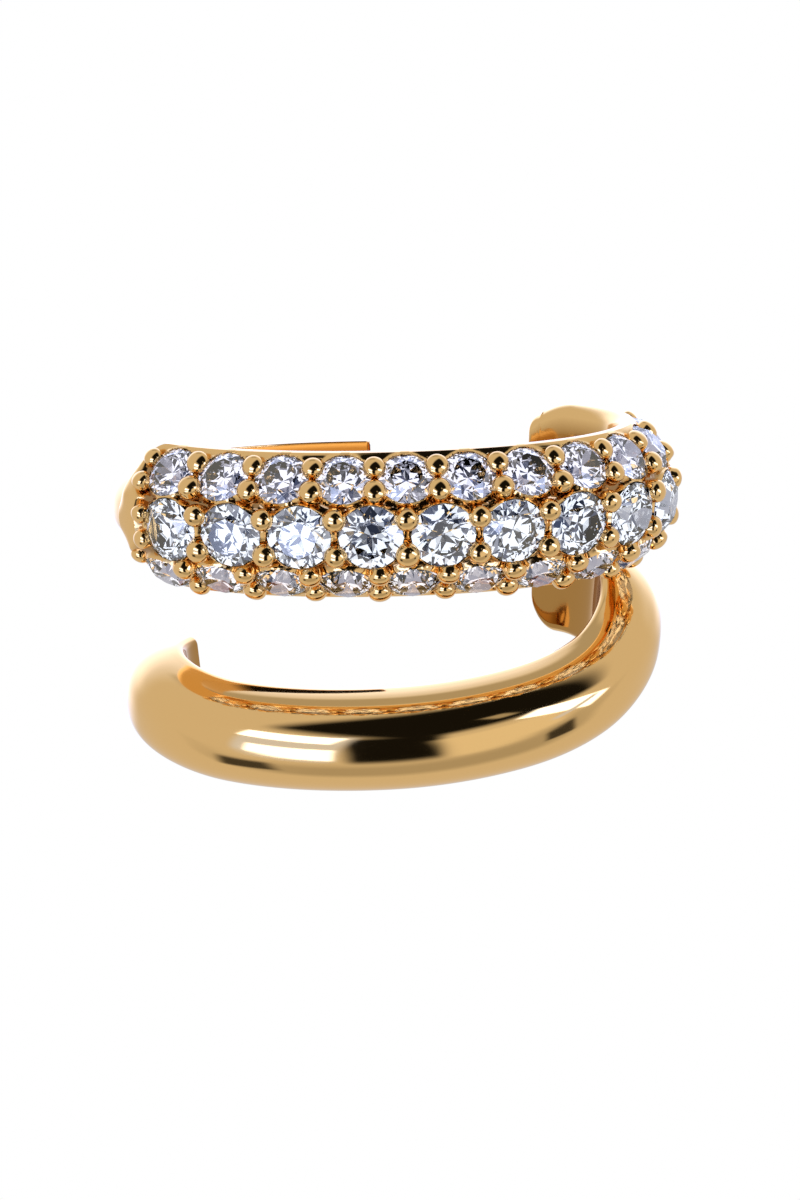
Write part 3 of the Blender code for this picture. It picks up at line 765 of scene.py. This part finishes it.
def pave_gold_with_painted_light():
    """Gold that is duller where it was cut back, browned by painted shade in its hollows and seats,
    and given a painted glow where a seat is seen through a stone.
    """
    finish = gold_finish("pave_band_gold", CUT_ROUGHNESS, CUT_SPREAD, CUT_RELIEF)
    nodes = finish.node_tree.nodes
    links = finish.node_tree.links
    shader = nodes["Principled BSDF"]
    # Painted shade: the gold turns browner in the hollows and seats.
    cut = nodes.new("ShaderNodeAttribute")
    cut.attribute_name = "painted_hollow_shade"
    colour = nodes.new("ShaderNodeMix")
    colour.data_type = "RGBA"
    colour.inputs["B"].default_value = HOLLOW_SHADE_GOLD
    links.new(nodes["gold_with_painted_inner_shade"].outputs["Result"], colour.inputs["A"])
    links.new(cut.outputs["Fac"], colour.inputs["Factor"])
    links.new(colour.outputs["Result"], shader.inputs["Base Color"])
    # Painted reflection: the seat glows pale where it is seen through a stone.
    pale = nodes.new("ShaderNodeEmission")
    pale.inputs["Color"].default_value = SEAT_PAINTED_GLOW
    seen = nodes.new("ShaderNodeLightPath")
    through = nodes.new("ShaderNodeMath")
    through.operation = "GREATER_THAN"
    through.inputs[1].default_value = THROUGH_STONE
    links.new(seen.outputs["Transmission Depth"], through.inputs[0])
    share = nodes.new("ShaderNodeMath")
    share.operation = "MULTIPLY"
    share.inputs[1].default_value = SEAT_GLOW_SHARE
    links.new(through.outputs[0], share.inputs[0])
    mixed = nodes.new("ShaderNodeMixShader")
    links.new(share.outputs[0], mixed.inputs[0])
    links.new(shader.outputs[0], mixed.inputs[1])
    links.new(pale.outputs[0], mixed.inputs[2])
    links.new(mixed.outputs[0], nodes["Material Output"].inputs["Surface"])
    return finish


def make_pave_band():
    angles, lengths = track(0.0, GIRDLE_LEVEL)
    cad_left = np.interp(PAVE_START, angles, lengths)
    right = np.interp(PAVE_END, angles, lengths)
    cap_line = cad_left + CAP_LENGTH * math.sqrt(1 - CAP_CAD_END_SHARE**2)
    left = cap_line - CAP_LENGTH * math.sqrt(1 - CAP_END_SHARE**2)
    nose = left + (cap_line - left) * np.linspace(0.0, 1.0, NOSE_POINTS) ** NOSE_CROWDING
    body = end_spots(cap_line, right, PAVE_STATION, 0.0, CUT_EDGE)[END_POINTS + 1:]
    spots = np.concatenate((nose, body))
    rings = []
    insets = np.maximum(cap_line - spots, 0.0) / CAP_LENGTH
    for spot, inset in zip(spots, insets):
        angle = float(np.interp(spot, lengths, angles))
        half = PAVE_HEIGHT / 2 * math.sqrt(1 - inset**2)
        near_end = nearness(right - spot, END_ROLL_LENGTH)
        sink = CAP_ROLL * float(soft_step(*CAP_ROLL_SPAN, inset))
        sink += END_ROLL * roll_off(near_end)
        end_roundness = float(soft_step(*END_ROUND_SPAN, near_end))
        roundness = float(soft_step(*CAP_ROUND_SPAN, inset)) + end_roundness
        least = RIM_LEAST + RIM_MORE * end_roundness
        top = half - DROP * nearness(right - spot, DROP_LENGTH) ** 2
        section, on_skin = dome_section(-half, top, sink, roundness, least)
        section = shrink(section, end_inset(spot, left, right, 0.0, CUT_EDGE))
        rings.append(on_cuff(np.full(len(section), angle), section[:, 1], section[:, 0]))
    grid = np.array(rings)

    along = np.gradient(grid, axis=0)
    round_it = np.roll(grid, -1, axis=1) - np.roll(grid, 1, axis=1)
    normal = np.cross(round_it, along)
    normal /= np.maximum(np.linalg.norm(normal, axis=-1, keepdims=True), TINY)
    skin_part = grid[:, on_skin].copy()
    skin_normal = normal[:, on_skin]
    ring, point = (size // 2 for size in skin_part.shape[:2])
    through_band = skin_part[ring, point] - grid[ring, -INNER_POINTS // 2]
    if np.sum(skin_normal[ring, point] * through_band) < 0:
        skin_normal = -skin_normal
    height_share = np.abs(np.linspace(-1.0, 1.0, SKIN_POINTS))[None, :]

    nearest = np.full(skin_part.shape[:2], FAR)
    for row in ROWS:
        _, _, stone, pitch, lead, _ = row
        for number in range(row_count(row)):
            middle, axis = setting(row, lead + pitch * number)
            radius = stone / 2 + SEAT_GAP
            offset = skin_part - middle
            rise = offset @ axis
            flat = offset - rise[..., None] * axis
            reach = np.linalg.norm(flat, axis=-1)
            here = np.abs(rise) < SEAT_REACH
            edge = np.where(here, reach - radius, FAR)
            snap = here & (np.abs(edge) < SNAP_SHARE * PAVE_STATION)
            pull = flat / np.maximum(reach, HAIR)[..., None] * edge[..., None]
            skin_part = np.where(snap[..., None], skin_part - pull, skin_part)
            edge = np.where(snap, 0.0, edge)
            nearest = np.minimum(nearest, edge)
            inside = here & (edge < -HAIR)
            floor = np.maximum(-SEAT_LEDGE + edge * SEAT_SLOPE, -SEAT_DEEPEST)
            drop = np.minimum(floor - rise, 0.0)
            skin_part = np.where(
                inside[..., None], skin_part + axis * drop[..., None], skin_part
            )

    outside = nearest > -HAIR
    hollow = soft_step(*HOLLOW_NEAR, nearest) * (1 - soft_step(*HOLLOW_ACROSS, height_share))
    hollow = hollow * (1 - soft_step(*HOLLOW_FAR, nearest))
    hollow = hollow * (1 - soft_step(*HOLLOW_ON_CAP, insets))[:, None]
    lip = 1 - soft_step(0.0, LIP_WIDTH, nearest)
    lip = lip * (1 - soft_step(*LIP_ON_CAP, insets))[:, None]
    x, y, z = np.moveaxis(skin_part, -1, 0)
    wave_x, wave_y, wave_z, slant = CRUMB_WAVES
    crumb = np.sin(x * wave_x) * np.sin(y * wave_y + CRUMB_PHASE)
    crumb = crumb + np.sin(z * wave_z + x * slant)
    lift = LIP * lip - HOLLOW * hollow + CRUMB * hollow * crumb
    skin_part = np.where(
        outside[..., None], skin_part + skin_normal * lift[..., None], skin_part
    )
    grid[:, on_skin] = skin_part
    band = skin_of("pave_band", grid, pave_gold_with_painted_light(), PAVE_SHARP_DEGREES)
    # Hollows and seats are marked for the painted shade.
    depth = np.zeros(grid.shape[:2])
    depth[:, on_skin] = np.where(outside, hollow, 1.0)
    mark(band, "painted_hollow_shade", depth)
    # The whole inner wall gets the painted shade.
    depth[:] = 0.0
    depth[:, -INNER_POINTS:] = 1.0
    mark(band, "painted_inner_shade", depth)
    return band


pave_band = make_pave_band()
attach(pave_band, "root")
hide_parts("cuff_frame")


# The beads, two between every two stones of a row. Each is a small round-headed prong raised from
# the band and pushed over the stones' edges, and polished bright. One tree sets them all out.

BEAD_RADIUS = 0.25 * MM
BEAD_RISE = 0.115 * MM
BEAD_SPREAD = 0.06
BEAD_FLARE = 0.75
BEAD_HEAD = 0.70
BEAD_LEAN = 0.18
LEAN_WAVES = (7.1, 3.7, 5.3)
BEAD_SEGMENTS = 24
BEAD_RINGS = 14
BEAD_SEED = 4
BEAD_ROUGHNESS = 0.04
FIRST_BEAD_SIZE = 0.85
# Each row's lower and upper bead, from the middle of the row.
BEAD_OFFSETS = (
    (-0.40 * MM, 0.40 * MM),
    (-0.33 * MM, 0.25 * MM),
    (-0.30 * MM, 0.40 * MM),
)
# The centre row's first pair, on the rounded end, stands closer together.
FIRST_PAIR = 0.70
END_RIM = 0.18 * MM
END_SINK = 0.22 * MM


def bead_tree():
    """A Geometry Nodes tree that puts a round-headed prong on each point, facing bead_axis."""
    tree = bpy.data.node_groups.new("bead_setting", "GeometryNodeTree")
    face = tree.interface
    face.new_socket("Geometry", in_out="INPUT", socket_type="NodeSocketGeometry")
    for name in ("Bead Radius", "Head Height", "Stem Flare", "Size Spread"):
        face.new_socket(name, in_out="INPUT", socket_type="NodeSocketFloat")
    for name in ("Segments", "Rings", "Seed"):
        face.new_socket(name, in_out="INPUT", socket_type="NodeSocketInt")
    face.new_socket("Gold", in_out="INPUT", socket_type="NodeSocketMaterial")
    face.new_socket("Geometry", in_out="OUTPUT", socket_type="NodeSocketGeometry")
    nodes = tree.nodes
    links = tree.links
    given = nodes.new("NodeGroupInput")
    made = nodes.new("NodeGroupOutput")

    ball = nodes.new("GeometryNodeMeshUVSphere")
    links.new(given.outputs["Segments"], ball.inputs["Segments"])
    links.new(given.outputs["Rings"], ball.inputs["Rings"])
    links.new(given.outputs["Bead Radius"], ball.inputs["Radius"])

    spot = nodes.new("GeometryNodeInputPosition")
    parts = nodes.new("ShaderNodeSeparateXYZ")
    links.new(spot.outputs[0], parts.inputs[0])
    depth = nodes.new("ShaderNodeMath")
    depth.operation = "DIVIDE"
    links.new(parts.outputs["Z"], depth.inputs[0])
    links.new(given.outputs["Bead Radius"], depth.inputs[1])
    below = nodes.new("ShaderNodeMath")
    below.operation = "MINIMUM"
    below.inputs[1].default_value = 0.0
    links.new(depth.outputs[0], below.inputs[0])
    square = nodes.new("ShaderNodeMath")
    square.operation = "MULTIPLY"
    links.new(below.outputs[0], square.inputs[0])
    links.new(below.outputs[0], square.inputs[1])
    wider = nodes.new("ShaderNodeMath")
    wider.operation = "MULTIPLY_ADD"
    wider.inputs[2].default_value = 1.0
    links.new(square.outputs[0], wider.inputs[0])
    links.new(given.outputs["Stem Flare"], wider.inputs[1])
    above = nodes.new("ShaderNodeMath")
    above.operation = "GREATER_THAN"
    above.inputs[1].default_value = 0.0
    links.new(parts.outputs["Z"], above.inputs[0])
    lower = nodes.new("ShaderNodeMath")
    lower.operation = "SUBTRACT"
    lower.inputs[1].default_value = 1.0
    links.new(given.outputs["Head Height"], lower.inputs[0])
    pressed = nodes.new("ShaderNodeMath")
    pressed.operation = "MULTIPLY_ADD"
    pressed.inputs[2].default_value = 1.0
    links.new(above.outputs[0], pressed.inputs[0])
    links.new(lower.outputs[0], pressed.inputs[1])
    longer = nodes.new("ShaderNodeCombineXYZ")
    links.new(pressed.outputs[0], longer.inputs["Z"])
    links.new(wider.outputs[0], longer.inputs["X"])
    links.new(wider.outputs[0], longer.inputs["Y"])
    flared = nodes.new("ShaderNodeVectorMath")
    flared.operation = "MULTIPLY"
    links.new(spot.outputs[0], flared.inputs[0])
    links.new(longer.outputs[0], flared.inputs[1])
    shape = nodes.new("GeometryNodeSetPosition")
    links.new(ball.outputs["Mesh"], shape.inputs["Geometry"])
    links.new(flared.outputs[0], shape.inputs["Position"])

    axis = nodes.new("GeometryNodeInputNamedAttribute")
    axis.data_type = "FLOAT_VECTOR"
    axis.inputs["Name"].default_value = "bead_axis"
    turn = nodes.new("FunctionNodeAlignRotationToVector")
    turn.axis = "Z"
    links.new(axis.outputs["Attribute"], turn.inputs["Vector"])
    size = nodes.new("GeometryNodeInputNamedAttribute")
    size.data_type = "FLOAT"
    size.inputs["Name"].default_value = "bead_size"
    smallest = nodes.new("ShaderNodeMath")
    smallest.operation = "SUBTRACT"
    smallest.inputs[0].default_value = 1.0
    largest = nodes.new("ShaderNodeMath")
    largest.operation = "ADD"
    largest.inputs[0].default_value = 1.0
    links.new(given.outputs["Size Spread"], smallest.inputs[1])
    links.new(given.outputs["Size Spread"], largest.inputs[1])
    chance = nodes.new("FunctionNodeRandomValue")
    chance.data_type = "FLOAT"
    links.new(smallest.outputs[0], chance.inputs[2])
    links.new(largest.outputs[0], chance.inputs[3])
    links.new(given.outputs["Seed"], chance.inputs["Seed"])
    scale = nodes.new("ShaderNodeMath")
    scale.operation = "MULTIPLY"
    links.new(size.outputs["Attribute"], scale.inputs[0])
    links.new(chance.outputs[1], scale.inputs[1])

    copies = nodes.new("GeometryNodeInstanceOnPoints")
    links.new(given.outputs["Geometry"], copies.inputs["Points"])
    links.new(shape.outputs["Geometry"], copies.inputs["Instance"])
    links.new(turn.outputs["Rotation"], copies.inputs["Rotation"])
    links.new(scale.outputs[0], copies.inputs["Scale"])
    real = nodes.new("GeometryNodeRealizeInstances")
    links.new(copies.outputs["Instances"], real.inputs["Geometry"])
    smooth = nodes.new("GeometryNodeSetShadeSmooth")
    links.new(real.outputs["Geometry"], smooth.inputs["Geometry"])
    gold = nodes.new("GeometryNodeSetMaterial")
    links.new(smooth.outputs["Geometry"], gold.inputs["Geometry"])
    links.new(given.outputs["Gold"], gold.inputs["Material"])
    links.new(gold.outputs["Geometry"], made.inputs["Geometry"])
    return tree


setting_tree = bead_tree()


def set_out(name, spots, axes, sizes, values):
    """Runs the tree on a list of places, and keeps the result as a plain mesh."""
    cloud = bpy.data.meshes.new(name + "_places")
    cloud.from_pydata(lay_down(np.array(spots)).tolist(), [], [])
    turn = np.array(LYING.to_3x3())
    facing = cloud.attributes.new("bead_axis", "FLOAT_VECTOR", "POINT")
    facing.data.foreach_set("vector", (np.array(axes) @ turn.T).astype(np.float32).ravel())
    size = cloud.attributes.new("bead_size", "FLOAT", "POINT")
    size.data.foreach_set("value", np.array(sizes, np.float32))
    holder = bpy.data.objects.new(name + "_places", cloud)
    bpy.context.scene.collection.objects.link(holder)
    step = holder.modifiers.new("setting", "NODES")
    step.node_group = setting_tree
    for socket in setting_tree.interface.items_tree:
        if socket.in_out == "INPUT" and socket.name in values:
            step[socket.identifier] = values[socket.name]
    graph = bpy.context.evaluated_depsgraph_get()
    mesh = bpy.data.meshes.new_from_object(holder.evaluated_get(graph))
    holder.modifiers.remove(step)
    bpy.data.objects.remove(holder)
    mesh.name = name
    piece = bpy.data.objects.new(name, mesh)
    bpy.context.scene.collection.objects.link(piece)
    return piece


def make_beads():
    """Each row starts and ends with a pair of beads, where the rounded end has room for them."""
    spots = []
    axes = []
    sizes = []
    for row, offsets in zip(ROWS, BEAD_OFFSETS):
        _, turn, _, pitch, lead, _ = row
        for number in range(row_count(row) + 1):
            between = lead + pitch * (number - 0.5)
            closer = FIRST_PAIR if number == 0 and turn == 0.0 else 1.0
            for offset in (share * closer for share in offsets):
                height = DOME_RADIUS * math.sin(turn) + offset * math.cos(turn)
                inset = min(max(CAP_LENGTH - between, 0.0) / CAP_LENGTH, 1.0)
                room = PAVE_HEIGHT / 2 * math.sqrt(1 - inset**2) - END_RIM
                if abs(height) < room:
                    rise = BEAD_RISE - END_SINK * float(soft_step(*CAP_ROUND_SPAN, inset))
                    spot, axis = setting(row, between, offset, rise)
                    lean = np.sin(len(spots) * np.array(LEAN_WAVES) + axis)
                    spots.append(spot)
                    axes.append(axis + BEAD_LEAN * lean)
                    sizes.append(FIRST_BEAD_SIZE if number == 0 else 1.0)
    finish = gold_finish("bead_gold", BEAD_ROUGHNESS, GOLD_SPREAD, GOLD_RELIEF)
    values = {
        "Bead Radius": BEAD_RADIUS,
        "Head Height": BEAD_HEAD,
        "Stem Flare": BEAD_FLARE,
        "Size Spread": BEAD_SPREAD,
        "Segments": BEAD_SEGMENTS,
        "Rings": BEAD_RINGS,
        "Seed": BEAD_SEED,
        "Gold": finish,
    }
    return set_out("beads", spots, axes, sizes, values)


beads = make_beads()
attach(beads, "root")
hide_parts("cuff_frame")


# The stones, round brilliants of clear cut zirconia, a larger size in the middle row. Each is set
# in its seat with its girdle just under the metal, and is held by the beads round it.

STONE_INDEX = 2.35
# Each row's tint is painted reflection, the tone that row's stones take from what they mirror; all
# the stones are one clear zirconia.
CENTRE_PAINTED_TONE = (0.945, 0.97, 0.99)
UPPER_PAINTED_TONE = (0.965, 0.93, 0.99)
LOWER_PAINTED_TONE = (1.0, 0.945, 0.93)
STONE_SHEEN = (1.0, 0.94, 0.81, 1.0)
TABLE_SHARE = 0.60
CROWN_SHARE = 0.15
GIRDLE_SHARE = 0.025
PAVILION_SHARE = 0.43
LOWER_HALF_REACH = 0.42
MAIN_FACETS = 8
ROW_STEP = 0.01 * MM


def stone_finish(name, painted_tone):
    finish = bpy.data.materials.new(name)
    finish.use_nodes = True
    shader = finish.node_tree.nodes["Principled BSDF"]
    # The row's painted reflected tone is set as the stone's colour.
    shader.inputs["Base Color"].default_value = (*painted_tone, 1.0)
    shader.inputs["Metallic"].default_value = 0.0
    shader.inputs["Roughness"].default_value = 0.0
    shader.inputs["IOR"].default_value = STONE_INDEX
    shader.inputs["Transmission Weight"].default_value = 1.0
    shader.inputs["Specular Tint"].default_value = STONE_SHEEN
    return finish


def brilliant(name, size):
    """A round stone with its girdle at level 0: table, kites, halves, and a pointed pavilion."""
    half = size / 2
    rim = size * GIRDLE_SHARE / 2
    crown = rim + size * CROWN_SHARE
    culet = -rim - size * PAVILION_SHARE
    table = half * TABLE_SHARE
    inner = half * LOWER_HALF_REACH
    slope = (-rim - culet) / half
    half_step = math.pi / MAIN_FACETS
    inner_level = culet + slope * inner * math.cos(half_step)

    def ring(radius, height, count, phase):
        turns = phase + 2 * math.pi * np.arange(count) / count
        flat = np.full(count, height)
        return np.stack((radius * np.cos(turns), radius * np.sin(turns), flat), -1)

    around = 2 * MAIN_FACETS
    points = np.concatenate(
        (
            ring(table, crown, MAIN_FACETS, 0.0),
            ring(half, rim, around, 0.0),
            ring(half, -rim, around, 0.0),
            ring(inner, inner_level, MAIN_FACETS, half_step),
            np.array(((0.0, 0.0, culet),)),
        )
    )
    deep = MAIN_FACETS + 2 * around
    tip = deep + MAIN_FACETS
    faces = [tuple(range(MAIN_FACETS))]
    for n in range(MAIN_FACETS):
        after = (n + 1) % MAIN_FACETS
        before = (n - 1) % MAIN_FACETS
        left = MAIN_FACETS + 2 * n
        mid = left + 1
        right = MAIN_FACETS + (2 * n + 2) % around
        faces.append((n, left, mid))
        faces.append((n, mid, after))
        faces.append((after, mid, right))
        faces.append((left, left + around, mid + around, mid))
        faces.append((mid, mid + around, right + around, right))
        faces.append((left + around, deep + n, mid + around))
        faces.append((mid + around, deep + n, right + around))
        faces.append((left + around, deep + before, tip, deep + n))
    mesh = bpy.data.meshes.new(name)
    mesh.from_pydata(points.tolist(), [], faces)
    maker = bmesh.new()
    maker.from_mesh(mesh)
    bmesh.ops.recalc_face_normals(maker, faces=maker.faces)
    maker.to_mesh(mesh)
    maker.free()
    return mesh


def set_stones(row, finish):
    """Sets a row, each stone with a corner of its table along the row."""
    name, _, size, pitch, lead, _ = row
    for number in range(row_count(row)):
        middle, axis = setting(row, lead + pitch * number)
        before = setting(row, lead + pitch * number - ROW_STEP)[0]
        along = middle - before
        along = along - axis * (along @ axis)
        along /= np.linalg.norm(along)
        side = np.cross(axis, along)
        mesh = brilliant(f"{name}_cut_{number + 1:02d}", size)
        place = Matrix(np.stack((along, side, axis), -1).tolist()).to_4x4()
        place.translation = Vector(middle.tolist())
        mesh.transform(LYING @ place)
        mesh.materials.append(finish)
        piece = bpy.data.objects.new(mesh.name, mesh)
        bpy.context.scene.collection.objects.link(piece)
        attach(piece, "root")
        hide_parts(f"{name}_{number + 1:02d}")


set_stones(ROWS[0], stone_finish("centre_stone_clear", CENTRE_PAINTED_TONE))
set_stones(ROWS[1], stone_finish("upper_stone_clear", UPPER_PAINTED_TONE))
set_stones(ROWS[2], stone_finish("lower_stone_clear", LOWER_PAINTED_TONE))


# The scene is brought up to date at the end.

bpy.context.view_layer.update()
